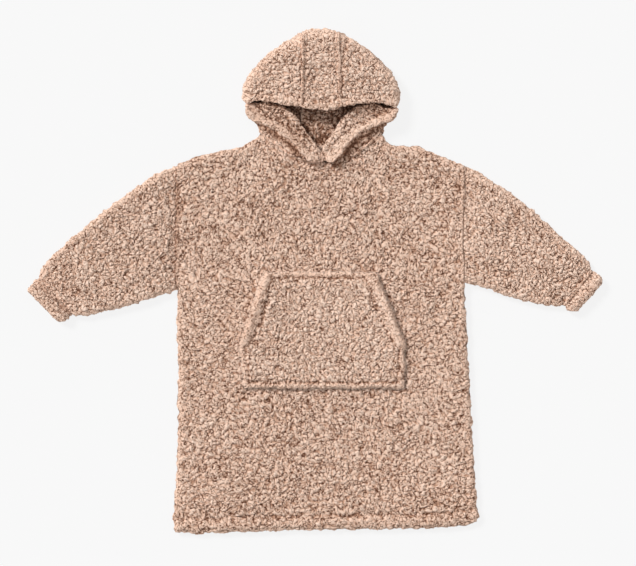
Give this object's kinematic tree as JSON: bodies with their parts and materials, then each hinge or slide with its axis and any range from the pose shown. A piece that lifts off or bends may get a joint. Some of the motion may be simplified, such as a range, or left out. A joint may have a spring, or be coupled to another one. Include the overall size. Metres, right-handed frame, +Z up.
{
  "type": "hooded sweatshirt",
  "caption": "Hooded pull-on sweatshirt of thick curly sherpa with a slanted front pocket, laid flat with its front up.",
  "frame": {"origin": "under the middle of the laid garment, on the surface it lies on", "axes": "+X to the wearer's left, +Y from the hem to the hood, +Z up through the front of the garment"},
  "size_m": [1.0614, 0.9318, 0.0423],
  "materials": {
    "sherpa": "beige-pink curly pile, matt"
  },
  "bodies": {
    "root": {"back": "sherpa", "front": "sherpa", "sleeve_left": "sherpa", "sleeve_right": "sherpa", "cuff_left": "sherpa", "cuff_right": "sherpa", "hood_centre": "sherpa", "hood_left": "sherpa", "hood_right": "sherpa", "pocket": "sherpa"}
  },
  "joints": []
}
